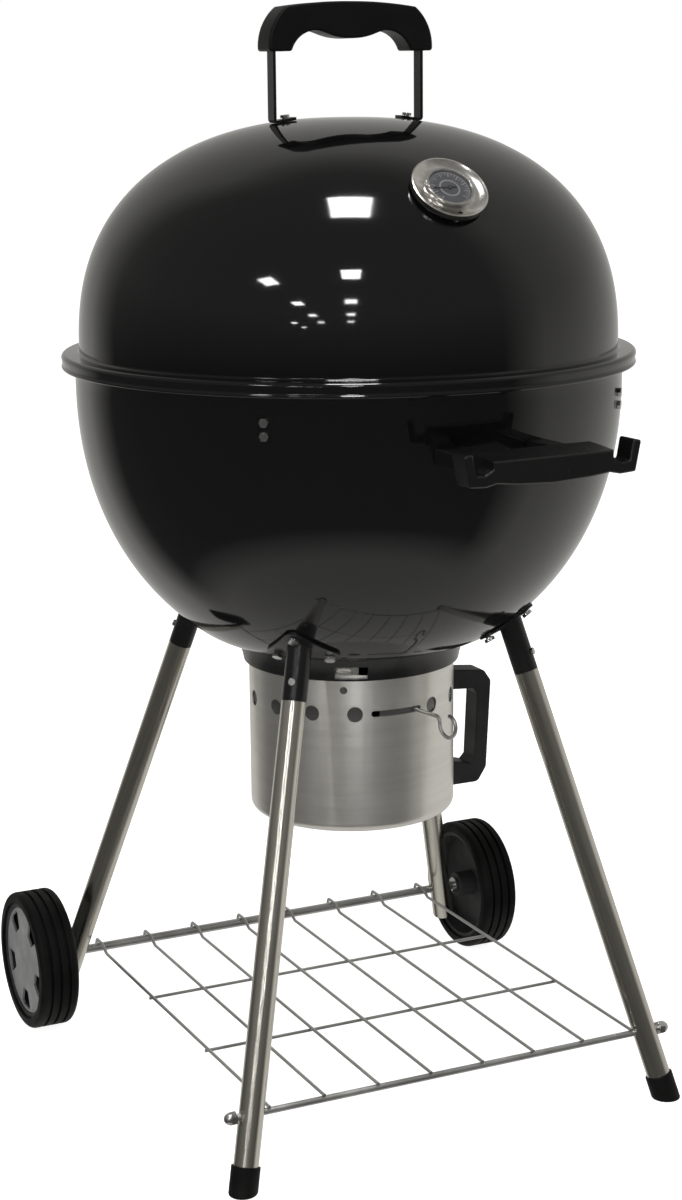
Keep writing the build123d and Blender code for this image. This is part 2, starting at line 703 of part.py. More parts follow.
with BuildPart() as lid_shell:
    with BuildSketch(SECTION):
        with BuildLine():
            outer = lid_curve(0.0)
            inner = lid_curve(-LID_WALL)
            Spline(*outer, tangents=((1, 0), (0, -1)))
            Polyline(
                outer[-1],
                (LID_R, FLANGE_TOP),
                (FLANGE_R, FLANGE_TOP),
                (FLANGE_R, FLANGE_LOW),
                (FLANGE_R - LID_WALL, FLANGE_LOW),
                (FLANGE_R - LID_WALL, FLANGE_TOP - LID_WALL),
                (LID_R - LID_WALL, FLANGE_TOP - LID_WALL),
                inner[-1],
            )
            Spline(*inner, tangents=((1, 0), (0, -1)))
            Line(inner[0], outer[0])
        make_face()
    revolve(axis=AXIS)
    round_edges = lid_shell.edges().filter_by(GeomType.CIRCLE)
    fillet(round_edges.filter_by(lambda e: abs(e.radius - FLANGE_R) < 0.1), radius=1.9)
    add(damper_boss)
    for seat in STRAP_SEATS:
        with BuildSketch(seat.offset(-8)):
            Circle(HOLE_R)
        extrude(amount=16, mode=Mode.SUBTRACT)
    with BuildSketch(gauge_seat.offset(-12)):
        Circle(GAUGE_STEM + 0.3)
    extrude(amount=24, mode=Mode.SUBTRACT)
    with BuildSketch(damper_seat.offset(-20)):
        with PolarLocations(DAMPER_PITCH, 4, start_angle=45):
            Circle(DAMPER_HOLE)
        Circle(HOLE_R)
    extrude(amount=40, mode=Mode.SUBTRACT)
lid_shell.part.label = "lid_shell"
export_step(lid_shell.part, "parts/lid_shell.step")

# ---- Lid handle ----
STRAP_WIDE = 15.0
STRAP_THICK = 3.0
STRAP_TOP = 1112.0
STRAP_END = 60.0
GRIP_DEEP = 32.0
with BuildPart() as lid_grip:
    with BuildSketch(SECTION):
        with BuildLine():
            Spline((0, 1109.5), (41.5, 1117.3), (67, 1097), tangents=((1, 0), (0.3, -1)))
            Line((67, 1097), (GRIP_HALF, 1097))
            ThreePointArc((GRIP_HALF, 1097), (88.3, 1121), (73, 1141))
            ThreePointArc((73, 1141), (37, 1145), (0, 1146.2))
            mirror(about=Plane.YZ)
        grip_face = make_face()
        fillet(grip_face.vertices().filter_by(lambda v: abs(v.X) > 30), radius=3.0)
    extrude(amount=GRIP_DEEP / 2, both=True)
    fillet(lid_grip.faces().sort_by(Axis.Y)[0].edges(), radius=2.6)
    fillet(lid_grip.faces().sort_by(Axis.Y)[-1].edges(), radius=2.6)
    with BuildSketch(level(1090)):
        with Locations((-STRAP_X, 0), (STRAP_X, 0)):
            Rectangle(STRAP_THICK + 0.4, STRAP_WIDE + 0.4)
    extrude(amount=STRAP_TOP - 1090 + 0.2, mode=Mode.SUBTRACT)
lid_grip.part.label = "lid_grip"
export_step(lid_grip.part, "parts/lid_grip.step")

for name, side in (("left", -1), ("right", 1)):
    with BuildPart() as lid_strap:
        with BuildSketch(SECTION):
            with BuildLine():
                outer_x = STRAP_X + STRAP_THICK / 2
                inner_x = STRAP_X - STRAP_THICK / 2
                foot_in = lid_height(STRAP_END) + 0.5
                foot_out = lid_height(outer_x) + 0.5
                Polyline(
                    (side * STRAP_END, foot_in),
                    (side * outer_x, foot_out),
                    (side * outer_x, STRAP_TOP),
                    (side * inner_x, STRAP_TOP),
                    (side * inner_x, foot_out + STRAP_THICK),
                    (side * STRAP_END, foot_in + STRAP_THICK),
                    close=True,
                )
            strap_face = make_face()
            bends = strap_face.vertices().filter_by(lambda v: abs(v.X) > STRAP_END + 1).group_by(Axis.Y)
            fillet(bends[0], radius=4.0)
        extrude(amount=STRAP_WIDE / 2, both=True)
        with BuildSketch(lid_plane(side * 90, FOOT_SCREW_X).offset(-4)):
            Circle(HOLE_R)
        extrude(amount=16, mode=Mode.SUBTRACT)
    lid_strap.part.label = f"lid_strap_{name}"
    export_step(lid_strap.part, f"parts/lid_strap_{name}.step")

with BuildPart() as lid_strap_screws:
    for seat in STRAP_SEATS:
        with BuildSketch(seat.offset(4.2)):
            Circle(4.8)
        extrude(amount=2.6)
        with BuildSketch(seat.offset(4.3)):
            Circle(BOLT_R)
        extrude(amount=-12)
        with BuildSketch(seat.offset(-2.4)):
            RegularPolygon(radius=5.2, side_count=6)
        extrude(amount=-3.6)
lid_strap_screws.part.label = "lid_strap_screws"
export_step(lid_strap_screws.part, "parts/lid_strap_screws.step")

# ---- Thermometer, built out along the lid's normal ----
CUP_R = 23.0
CUP_LOW = 0.6
DIAL_TOP = 5.2
GLASS_LOW = 7.2
GLASS_TOP = 8.4
BEZEL_R = 38.5
gauge_axis = Axis(gauge_seat.origin, gauge_seat.z_dir)
gauge_cut = Plane(origin=gauge_seat.origin, x_dir=gauge_seat.x_dir, z_dir=-gauge_seat.y_dir)
with BuildPart() as thermometer_case:
    with BuildSketch(gauge_seat.offset(CUP_LOW)):
        Circle(CUP_R - 0.1)
    extrude(amount=GLASS_TOP - CUP_LOW)
    with BuildSketch(gauge_seat.offset(3.2)):
        Circle(CUP_R - 1.2)
    extrude(amount=10, mode=Mode.SUBTRACT)
    with BuildSketch(gauge_seat.offset(CUP_LOW)):
        Circle(GAUGE_STEM)
    extrude(amount=-48)
thermometer_case.part.label = "thermometer_case"
export_step(thermometer_case.part, "parts/thermometer_case.step")

with BuildPart() as thermometer_dial:
    with BuildSketch(gauge_seat.offset(3.3)):
        Circle(CUP_R - 1.4)
    extrude(amount=DIAL_TOP - 3.3)
    with BuildSketch(gauge_seat.offset(DIAL_TOP)):
        Circle(1.0)
    extrude(amount=1.6)
thermometer_dial.part.label = "thermometer_dial"
export_step(thermometer_dial.part, "parts/thermometer_dial.step")

with BuildPart() as thermometer_needle:
    with BuildSketch(gauge_seat.offset(DIAL_TOP + 0.5)):
        with BuildLine():
            Polyline((-17.5, -0.4), (7, -1.2), (7, 1.2), (-17.5, 0.4), close=True)
        make_face()
        Circle(2.6)
        Circle(1.0 + RUN_GAP, mode=Mode.SUBTRACT)
    extrude(amount=0.7)
thermometer_needle.part.label = "thermometer_needle"
export_step(thermometer_needle.part, "parts/thermometer_needle.step")

with BuildPart() as thermometer_glass:
    with BuildSketch(gauge_seat.offset(GLASS_LOW)):
        Circle(CUP_R - 1.4)
    extrude(amount=GLASS_TOP - GLASS_LOW)
thermometer_glass.part.label = "thermometer_glass"
export_step(thermometer_glass.part, "parts/thermometer_glass.step")

with BuildPart() as thermometer_bezel:
    with BuildSketch(gauge_cut):
        with BuildLine():
            lip = (CUP_R + 1.2, GLASS_TOP)
            Polyline((CUP_R + 0.1, 1.2), (CUP_R + 0.1, GLASS_TOP), lip, (CUP_R + 1.8, 3.8))
            Spline((CUP_R + 1.8, 3.8), (31, 4.4), (BEZEL_R - 1.5, 7.4))
            Polyline((BEZEL_R - 1.5, 7.4), (BEZEL_R, 7.0), (BEZEL_R, 1.2))
            Polyline((BEZEL_R, 1.2), (BEZEL_R - 1.3, 1.2), (BEZEL_R - 1.8, 5.6))
            Spline((BEZEL_R - 1.8, 5.6), (31, 2.9), (CUP_R + 1.8, 2.3))
            Polyline((CUP_R + 1.8, 2.3), (CUP_R + 1.6, 1.2), (CUP_R + 0.1, 1.2))
        make_face()
    revolve(axis=gauge_axis)
    with BuildSketch(gauge_seat.offset(1)):
        with Locations((0, -31)):
            Circle(2.2)
    extrude(amount=9, mode=Mode.SUBTRACT)
thermometer_bezel.part.label = "thermometer_bezel"
export_step(thermometer_bezel.part, "parts/thermometer_bezel.step")

with BuildPart() as thermometer_nut:
    with BuildSketch(gauge_seat.offset(-3.4)):
        RegularPolygon(radius=9.5, side_count=6)
        Circle(GAUGE_STEM + 0.1, mode=Mode.SUBTRACT)
    extrude(amount=-4.5)
thermometer_nut.part.label = "thermometer_nut"
export_step(thermometer_nut.part, "parts/thermometer_nut.step")

# ---- Lid damper at the back ----
SEAT_TOP = 0.5
with BuildPart() as lid_damper:
    with BuildSketch(damper_seat.offset(SEAT_TOP + GAP)):
        Circle(DAMPER_DISC)
        with PolarLocations(DAMPER_PITCH, 4, start_angle=0):
            Circle(DAMPER_HOLE, mode=Mode.SUBTRACT)
        Circle(BOLT_R + RUN_GAP, mode=Mode.SUBTRACT)
    extrude(amount=1.4)
    with BuildSketch(damper_seat.offset(SEAT_TOP + GAP)):
        with Locations((0, -DAMPER_DISC + 1)):
            Rectangle(20, 1.6)
    extrude(amount=13)
lid_damper.part.label = "lid_damper"
export_step(lid_damper.part, "parts/lid_damper.step")

with BuildPart() as lid_damper_rivet:
    with BuildSketch(damper_seat.offset(SEAT_TOP + GAP + 1.7)):
        Circle(6.0)
    extrude(amount=2.4)
    with BuildSketch(damper_seat.offset(SEAT_TOP + GAP + 1.8)):
        Circle(BOLT_R)
    extrude(amount=-10)
    with BuildSketch(damper_seat.offset(-3.2)):
        Circle(6.0)
    extrude(amount=-2)
lid_damper_rivet.part.label = "lid_damper_rivet"
export_step(lid_damper_rivet.part, "parts/lid_damper_rivet.step")

# ---- Ash bucket ----
BUCKET_IN = BUCKET_R - BUCKET_WALL
BUCKET_CORNER = 10.0
CUT_REACH = BUCKET_R + 20
HANDLE_LOW = 301.0
HANDLE_TOP = 433.0
HANDLE_REACH = 166.0
HANDLE_DEEP = 26.0
GRIP_RIBS = 7
RIB_R = 3.4
SCREW_HEIGHTS = (313.5, 401.0)
with BuildPart() as ash_bucket:
    with BuildSketch(SECTION):
        with BuildLine():
            low = BUCKET_LOW
            turn = BUCKET_CORNER
            bend = BUCKET_CORNER - BUCKET_WALL
            Line((0, low), (BUCKET_R - turn, low))
            RadiusArc((BUCKET_R - turn, low), (BUCKET_R, low + turn), -turn)
            rim = (BUCKET_R, BUCKET_TOP)
            Polyline((BUCKET_R, low + turn), rim, (BUCKET_IN, BUCKET_TOP), (BUCKET_IN, low + turn))
            RadiusArc((BUCKET_IN, low + turn), (BUCKET_R - turn, low + BUCKET_WALL), bend)
            Polyline((BUCKET_R - turn, low + BUCKET_WALL), (0, low + BUCKET_WALL), (0, low))
        make_face()
    revolve(axis=AXIS)
    for turn in VENT_TURNS:
        with BuildSketch(ray(turn, VENT_Z)):
            Circle(VENT_HOLE_R)
        extrude(amount=CUT_REACH, mode=Mode.SUBTRACT)
    with BuildSketch(level(VENT_Z - SLOT_RISE)):
        with BuildLine():
            span = radians(SLOT_HALF)
            left = (-CUT_REACH * sin(span), -CUT_REACH * cos(span))
            right = (CUT_REACH * sin(span), -CUT_REACH * cos(span))
            Polyline((0, 0), left, right, (0, 0))
        make_face()
    extrude(amount=2 * SLOT_RISE, mode=Mode.SUBTRACT)
    for turn in (-SLOT_HALF, SLOT_HALF):
        with BuildSketch(ray(turn, VENT_Z)):
            Circle(SLOT_RISE)
        extrude(amount=CUT_REACH, mode=Mode.SUBTRACT)
    for z in SCREW_HEIGHTS:
        with BuildSketch(ray(90, z)):
            Circle(SMALL_HOLE_R)
        extrude(amount=CUT_REACH, mode=Mode.SUBTRACT)
    for turn in CLIP_TURNS:
        with BuildSketch(ray(turn, RIVET_Z)):
            Circle(SMALL_HOLE_R)
        extrude(amount=CUT_REACH, mode=Mode.SUBTRACT)
ash_bucket.part.label = "ash_bucket"
export_step(ash_bucket.part, "parts/ash_bucket.step")

with BuildPart() as bucket_handle:
    with BuildSketch(SECTION):
        with BuildLine():
            Polyline(
                (104, HANDLE_LOW),
                (150, HANDLE_LOW),
                (160.5, 317),
                (HANDLE_REACH, 416),
                (157, 429),
                (120, HANDLE_TOP),
                (104, HANDLE_TOP),
                close=True,
            )
        grip_outline = make_face()
        fillet(grip_outline.vertices().filter_by(lambda v: v.X > 130), radius=7.0)
        with BuildLine():
            Polyline((118, 329), (140, 323), (145.5, 329), (149, 402), (144, 409), (118, 411), close=True)
        make_face(mode=Mode.SUBTRACT)
    extrude(amount=HANDLE_DEEP / 2, both=True)
    with BuildSketch(level(HANDLE_LOW - 5)):
        Circle(BUCKET_R + GAP)
    extrude(amount=200, mode=Mode.SUBTRACT)
    with BuildSketch(Plane(place(0, 0, 0), x_dir=(1, 0, 0), z_dir=(0, -1, 0)).offset(HANDLE_DEEP / 2 + 1)):
        for k in range(GRIP_RIBS):
            share = k / (GRIP_RIBS - 1)
            with Locations((164.2 + 4.6 * share, 326 + 82 * share)):
                Circle(RIB_R)
    extrude(amount=-HANDLE_DEEP - 2, mode=Mode.SUBTRACT)
    chamfer(bucket_handle.faces().sort_by(Axis.Y)[0].edges().filter_by(Axis.Y, reverse=True), length=1.0)
    for z in SCREW_HEIGHTS:
        with BuildSketch(ray(90, z)):
            Circle(SMALL_HOLE_R)
        extrude(amount=BUCKET_R + 12, mode=Mode.SUBTRACT)
bucket_handle.part.label = "bucket_handle"
export_step(bucket_handle.part, "parts/bucket_handle.step")

with BuildPart() as bucket_handle_screws:
    for z in SCREW_HEIGHTS:
        with BuildSketch(Plane(place(BUCKET_IN - 2.8, 90, z), z_dir=(1, 0, 0))):
            Circle(4.4)
        extrude(amount=2.2)
        with BuildSketch(Plane(place(BUCKET_IN - 2.6, 90, z), z_dir=(1, 0, 0))):
            Circle(2.0)
        extrude(amount=14)
bucket_handle_screws.part.label = "bucket_handle_screws"
export_step(bucket_handle_screws.part, "parts/bucket_handle_screws.step")

# ---- Bayonet clips inside the bucket's rim ----
CLIP_LOW = 446.0
CLIP_TOP = 478.5
CLIP_OUT = 117.5
CLIP_THICK = 2.0
CLIP_WIDE = 31.0
LIP_WIDE = 15.0
LIP_Z = 469.5
CLIP_FACE = BUCKET_IN - GAP
with BuildPart() as bucket_clips:
    with BuildSketch(level(CLIP_LOW)):
        Circle(CLIP_FACE)
        Circle(CLIP_FACE - CLIP_THICK, mode=Mode.SUBTRACT)
    extrude(amount=CLIP_TOP - CLIP_LOW)
    with BuildSketch(level(CLIP_LOW)):
        for turn in CLIP_TURNS:
            with Locations(Rotation(0, 0, turn)):
                with Locations((0, -CLIP_FACE)):
                    Rectangle(CLIP_WIDE, 40)
    extrude(amount=CLIP_TOP - CLIP_LOW, mode=Mode.INTERSECT)
    with BuildSketch(level(LIP_Z)):
        for turn in CLIP_TURNS:
            with Locations(Rotation(0, 0, turn)):
                with Locations((0, -CLIP_OUT)):
                    Rectangle(LIP_WIDE, CLIP_OUT - CLIP_FACE + CLIP_THICK, align=(Align.CENTER, Align.MIN))
    extrude(amount=CLIP_THICK)
    for turn in CLIP_TURNS:
        with BuildSketch(ray(turn, RIVET_Z)):
            Circle(SMALL_HOLE_R)
        extrude(amount=CUT_REACH, mode=Mode.SUBTRACT)
bucket_clips.part.label = "bucket_clips"
export_step(bucket_clips.part, "parts/bucket_clips.step")

with BuildPart() as bucket_clip_rivets:
    for turn in CLIP_TURNS:
        axis_plane = ray(turn, RIVET_Z)
        with BuildSketch(axis_plane.offset(BUCKET_R + 0.2)):
            Circle(3.9)
        extrude(amount=1.8)
        with BuildSketch(axis_plane.offset(CLIP_FACE - 3.8)):
            Circle(2.0)
        extrude(amount=6)
        with BuildSketch(axis_plane.offset(CLIP_FACE - 2.3)):
            Circle(3.6)
        extrude(amount=-1.6)
bucket_clip_rivets.part.label = "bucket_clip_rivets"
export_step(bucket_clip_rivets.part, "parts/bucket_clip_rivets.step")

# ---- Sliding vent band and its wire lever ----
BAND_R = BUCKET_IN - 0.5
BAND_WALL = 1.2
BAND_HALF = 13.0
BAND_LAG = 9.5
LEVER_R = 2.0
with BuildPart() as vent_band:
    with BuildSketch(level(VENT_Z - BAND_HALF)):
        Circle(BAND_R)
        Circle(BAND_R - BAND_WALL, mode=Mode.SUBTRACT)
    extrude(amount=2 * BAND_HALF)
    for turn in VENT_TURNS:
        with BuildSketch(ray(turn + BAND_LAG, VENT_Z)):
            Circle(VENT_HOLE_R)
        extrude(amount=CUT_REACH, mode=Mode.SUBTRACT)
    with BuildSketch(ray(LEVER_TURN, VENT_Z)):
        Circle(LEVER_R + 0.2)
    extrude(amount=CUT_REACH, mode=Mode.SUBTRACT)
vent_band.part.label = "vent_band"
export_step(vent_band.part, "parts/vent_band.step")

lever_out = place(1, LEVER_TURN, 0) - place(0, 0, 0)
lever_cut = Plane(place(0, 0, 0), x_dir=lever_out, z_dir=Vector(0, 0, 1).cross(lever_out) * -1)
with BuildPart() as vent_lever:
    with BuildLine(lever_cut) as wire:
        arm = Line((BAND_R - 4.5, VENT_Z), (146, VENT_Z))
        drop = TangentArc((146, VENT_Z), (152, VENT_Z - 6), tangent=arm % 1)
        run = TangentArc((152, VENT_Z - 6), (178, VENT_Z - 6), tangent=drop % 1)
        back = TangentArc((178, VENT_Z - 6), (167, VENT_Z + 4), tangent=run % 1)
    with BuildSketch(Plane(origin=arm @ 0, z_dir=arm % 0)):
        Circle(LEVER_R)
    sweep(path=wire.line)
    with BuildSketch(Plane(origin=arm @ 0, z_dir=arm % 0).offset(0.5)):
        Circle(3.6)
    extrude(amount=2.2)
vent_lever.part.label = "vent_lever"
export_step(vent_lever.part, "parts/vent_lever.step")

# ---- Grates ----
RING_WIDE = 6.0
RING_HIGH = 6.0


def grate(radius, bar_r, pitch, height, cross_y):
    """A flat ring, parallel bars let into it, and cross bars beneath."""
    inner = radius - RING_WIDE
    middle = radius - RING_WIDE / 2
    with BuildPart() as grille:
        with BuildSketch(level(height - RING_HIGH / 2)):
            Circle(radius)
            Circle(inner, mode=Mode.SUBTRACT)
        extrude(amount=RING_HIGH)
        bars = int(inner / pitch)
        for k in range(-bars, bars + 1):
            half = sqrt(middle**2 - (k * pitch) ** 2)
            with BuildSketch(Plane(origin=(k * pitch, KETTLE_Y, height), z_dir=(0, 1, 0))):
                Circle(bar_r)
            extrude(amount=half, both=True)
        for y in (-cross_y, cross_y):
            half = sqrt(middle**2 - y**2)
            with BuildSketch(Plane(origin=(0, KETTLE_Y + y, height - 2 * bar_r + 0.4), z_dir=(1, 0, 0))):
                Circle(bar_r)
            extrude(amount=half, both=True)
    return grille.part


cooking_grate = grate(271.0, 2.2, 19.0, 739.2, 120.0)
cooking_grate.label = "cooking_grate"
export_step(cooking_grate, "parts/cooking_grate.step")

charcoal_grate = grate(203.0, 2.6, 21.0, 552.0, 80.0)
charcoal_grate.label = "charcoal_grate"
export_step(charcoal_grate, "parts/charcoal_grate.step")
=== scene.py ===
# %% [markdown]
# # A kettle charcoal grill
# The grill is a round enamelled bowl with a domed lid, held up by four splayed steel tubes.
# The measured model comes in as a frame of nodes. This lesson gives every node its finish, and
# puts smooth surfaces in place of the two enamelled shells, because a glossy shell shows each
# flat facet of a measured mesh in its reflections.

# %% Load the frame
import json
import math

import bmesh
import bpy
import numpy as np
from mathutils import Matrix, Vector


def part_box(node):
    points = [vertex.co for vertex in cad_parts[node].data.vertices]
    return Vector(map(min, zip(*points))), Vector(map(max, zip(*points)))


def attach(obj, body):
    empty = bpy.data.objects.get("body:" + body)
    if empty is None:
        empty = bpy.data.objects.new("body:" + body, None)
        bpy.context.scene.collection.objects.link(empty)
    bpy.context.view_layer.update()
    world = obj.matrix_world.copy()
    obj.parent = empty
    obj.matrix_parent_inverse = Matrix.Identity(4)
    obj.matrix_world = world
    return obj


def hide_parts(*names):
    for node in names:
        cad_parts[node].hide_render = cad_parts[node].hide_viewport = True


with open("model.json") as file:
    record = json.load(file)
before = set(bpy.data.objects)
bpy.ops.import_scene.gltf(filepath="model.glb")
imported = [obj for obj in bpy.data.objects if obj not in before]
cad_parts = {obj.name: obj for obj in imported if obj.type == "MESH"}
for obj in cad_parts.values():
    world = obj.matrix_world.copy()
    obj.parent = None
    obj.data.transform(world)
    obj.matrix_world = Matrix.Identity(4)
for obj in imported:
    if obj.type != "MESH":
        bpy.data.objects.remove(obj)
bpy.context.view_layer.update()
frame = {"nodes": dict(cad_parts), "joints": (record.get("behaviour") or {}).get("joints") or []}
nodes = frame["nodes"]
print("nodes in the frame:", len(nodes))

# %% [markdown]
# ## Where things are
# The kettle is a solid of revolution, so most shapes need only its axis. The middle of the bowl's collar lies
# on that axis, so the collar's box gives it.

# %% The kettle's axis and main sizes
lo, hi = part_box("bowl_collar")
AXIS_X = (lo[0] + hi[0]) / 2
AXIS_Y = (lo[1] + hi[1]) / 2
rim_low, rim_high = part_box("lid_shell")
FLANGE_R = (rim_high[0] - rim_low[0]) / 2
FLANGE_LOW = rim_low[2]
LID_TOP = rim_high[2]
bowl_low, bowl_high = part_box("bowl_shell")
MOUTH_Z = bowl_low[2]
MM = 0.001
print("kettle axis at", round(AXIS_X, 4), round(AXIS_Y, 4), "flange radius", round(FLANGE_R, 4))

# %% [markdown]
# ## Making meshes from arrays
# A surface is a grid of points. Each row is a section and each column runs along the shape.
# Turning a closed profile round an axis gives a grid that is closed both ways.


# %% Grid and lathe helpers
def mesh_piece(name, verts, faces, body, sharp=35.0):
    """A smooth object from points and faces, with edges sharper than the angle left crisp."""
    mesh = bpy.data.meshes.new(name)
    mesh.from_pydata(np.asarray(verts).tolist(), [], np.asarray(faces).tolist())
    clean = bmesh.new()
    clean.from_mesh(mesh)
    bmesh.ops.remove_doubles(clean, verts=clean.verts, dist=1e-7)
    bmesh.ops.dissolve_degenerate(clean, edges=clean.edges, dist=1e-8)
    bmesh.ops.recalc_face_normals(clean, faces=clean.faces)
    clean.to_mesh(mesh)
    clean.free()
    mesh.polygons.foreach_set("use_smooth", np.ones(len(mesh.polygons), dtype=bool))
    mesh.set_sharp_from_angle(angle=math.radians(sharp))
    piece = bpy.data.objects.new(name, mesh)
    bpy.context.scene.collection.objects.link(piece)
    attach(piece, body)
    print("made", name, "with", len(mesh.polygons), "faces on", body)
    return piece


def grid_faces(rows, columns, close_rows, close_columns):
    """Quads between neighbouring rows and columns, wrapping round where a direction is closed."""
    r = np.arange(rows if close_rows else rows - 1)
    c = np.arange(columns if close_columns else columns - 1)
    a, b = np.meshgrid(r, c, indexing="ij")
    a2, b2 = (a + 1) % rows, (b + 1) % columns
    quads = np.stack([a * columns + b, a2 * columns + b, a2 * columns + b2, a * columns + b2], axis=-1)
    return quads.reshape(-1, 4)


def lathe(name, profile, body, steps=256, sharp=35.0, centre=None, axis=(0, 0, 1)):
    """Centre plus height times the axis, plus radius times a unit vector that turns round the axis."""
    profile = np.asarray(profile, dtype=float)
    centre = np.array([AXIS_X, AXIS_Y, 0.0]) if centre is None else np.asarray(centre, dtype=float)
    axis = np.asarray(axis, dtype=float) / np.linalg.norm(axis)
    across = np.array([1.0, 0.0, 0.0])
    beside = np.cross(axis, across)
    turn = np.linspace(0, 2 * math.pi, steps, endpoint=False)[:, None]
    around = np.sin(turn) * across - np.cos(turn) * beside
    verts = centre + profile[:, 1][:, None, None] * axis + profile[:, 0][:, None, None] * around
    return mesh_piece(name, verts.reshape(-1, 3), grid_faces(len(profile), steps, True, True), body, sharp)


def arc(centre, radius, start, end, steps=8):
    """Points on a circle about centre, from one angle to another, in degrees."""
    a = np.radians(np.linspace(start, end, steps))
    return np.stack([centre[0] + radius * np.cos(a), centre[1] + radius * np.sin(a)], axis=1)


def superellipse(radius, height, power, base, start, end, steps):
    """Radius times sin to the 2/n, and base plus height times cos to the 2/n, over the angle."""
    a = np.radians(np.linspace(start, end, steps))
    r = radius * np.abs(np.sin(a)) ** (2 / power)
    z = base + height * np.abs(np.cos(a)) ** (2 / power)
    return np.stack([r, z], axis=1)


# %% [markdown]
# ## The lid's shell
# A lid like this is deep drawn from one steel sheet: a dome flatter on top than a ball, a short
# straight wall, then a flange that turns out and down with a rolled hem. The profile follows
# that order. The outer skin and the inner skin are 2 mm apart.

# %% Lid profile and surface
WALL = 2 * MM
LID_R = 281.4 * MM
LID_BASE = 799 * MM
LID_POWER = 2.37
FLANGE_TOP = 794.8 * MM
lid_height = LID_TOP - LID_BASE
dome = superellipse(LID_R, lid_height, LID_POWER, LID_BASE, 0, 90, 110)
dome_inside = superellipse(LID_R - WALL, lid_height - WALL, LID_POWER, LID_BASE, 90, 0, 110)
hem = 2.0 * MM
lid_profile = np.concatenate(
    [
        dome,
        arc((LID_R + 2.4 * MM, FLANGE_TOP + 2.4 * MM), 2.4 * MM, 180, 270, 8),
        arc((FLANGE_R - 4.2 * MM, FLANGE_TOP - 4.2 * MM), 4.2 * MM, 90, 0, 12),
        [(FLANGE_R - 0.9 * MM, FLANGE_LOW + 6.4 * MM), (FLANGE_R - 0.9 * MM, FLANGE_LOW + 4.6 * MM)],
        arc((FLANGE_R - hem, FLANGE_LOW + hem), hem, 40, -180, 14),
        [(FLANGE_R - 3.4 * MM, FLANGE_TOP - 6.4 * MM)],
        arc((FLANGE_R - 6.4 * MM, FLANGE_TOP - 5.4 * MM), 3.0 * MM, 0, 90, 6),
        [(LID_R - WALL, FLANGE_TOP - 2.4 * MM)],
        dome_inside,
    ]
)
lid_piece = lathe("lid_dome", lid_profile, "lid")
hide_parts("lid_shell")

# %% [markdown]
# ## The bowl's shell
# The bowl is a deeper version of the same shape. Near its mouth it flattens, so that ash slides
# to the hole in the middle, and at the rim its edge is rolled into a bead that carries the lid.

# %% Bowl profile and surface
BOWL_R = 286 * MM
BOWL_EQUATOR = 765 * MM
BOWL_DEPTH = 311 * MM
BOWL_POWER = 2.16
BEAD = 4.6 * MM
BEAD_R = 291.2 * MM
BEAD_Z = 787.6 * MM
MOUTH_R = 85 * MM


def bowl_skin(inset):
    """The bowl's wall from the equator down, then a cubic curve that flattens to the mouth."""
    wall = superellipse(BOWL_R - inset, -(BOWL_DEPTH - inset), BOWL_POWER, BOWL_EQUATOR, 90, 30, 90)
    wall = wall[wall[:, 1] > 505 * MM]
    start, slope = wall[-1], wall[-1] - wall[-2]
    slope = slope / np.linalg.norm(slope) * 34 * MM
    end = np.array([MOUTH_R, MOUTH_Z + inset])
    t = np.linspace(0, 1, 24)[1:, None]
    bend = (
        (1 - t) ** 3 * start
        + 3 * (1 - t) ** 2 * t * (start + slope)
        + 3 * (1 - t) * t**2 * (end + np.array([36, 2.2]) * MM)
        + t**3 * end
    )
    return np.concatenate([wall, bend])


bowl_profile = np.concatenate(
    [
        arc((BEAD_R, BEAD_Z), BEAD, 160, -150, 26),
        [(BOWL_R, BEAD_Z - 7 * MM)],
        bowl_skin(0.0),
        bowl_skin(WALL)[::-1],
        [(BOWL_R - WALL, BEAD_Z)],
    ]
)
bowl_piece = lathe("bowl_wall", bowl_profile, "stand")
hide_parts("bowl_shell")

# %% [markdown]
# ## The damper's seat and the dial's marks
# At the back of the lid a flat land is pressed up for the turning damper. On the thermometer's
# dial a ring and short strokes show the scale. Both lie square to a joint's axis, so the joints
# give their directions, and the measured pieces give their heights.

# %% Where the damper and the dial sit
joint_of = {joint["name"]: joint for joint in frame["joints"]}


def height_on(node, axis, inner=0.0):
    """The middle of a node, its highest point along the axis, among points off the axis."""
    mesh = nodes[node].data
    points = np.empty(len(mesh.vertices) * 3)
    mesh.vertices.foreach_get("co", points)
    points = points.reshape(-1, 3)
    low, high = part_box(node)
    middle = (np.array(low) + np.array(high)) / 2
    along = (points - middle) @ axis
    off = np.linalg.norm((points - middle) - along[:, None] * axis, axis=1)
    return middle, along[off > inner].max(), along.min()


damper_axis = np.array(joint_of["damper_turn"]["axis"], dtype=float)
damper_axis /= np.linalg.norm(damper_axis)
damper_middle, _, _ = height_on("lid_damper_rivet", damper_axis)
damper_disc, _, damper_under = height_on("lid_damper", damper_axis)
seat_height = float((damper_disc - damper_middle) @ damper_axis) + damper_under - 0.3 * MM
seat_profile = [(0.0, -9 * MM), (40.5 * MM, -9 * MM), (42 * MM, -2 * MM), (41.2 * MM, 0.0), (0.0, 0.0)]
seat_centre = damper_middle + damper_axis * seat_height
damper_seat = lathe("damper_seat", seat_profile, "lid", 96, 35.0, seat_centre, damper_axis)

# %% Strokes and ring on the dial
dial_axis = np.array(joint_of["needle_turn"]["axis"], dtype=float)
dial_axis /= np.linalg.norm(dial_axis)
dial_middle, dial_top, _ = height_on("thermometer_dial", dial_axis, 10 * MM)
dial_face = dial_middle + dial_axis * dial_top
dial_right = np.array([1.0, 0.0, 0.0])
dial_up = np.cross(dial_axis, dial_right)


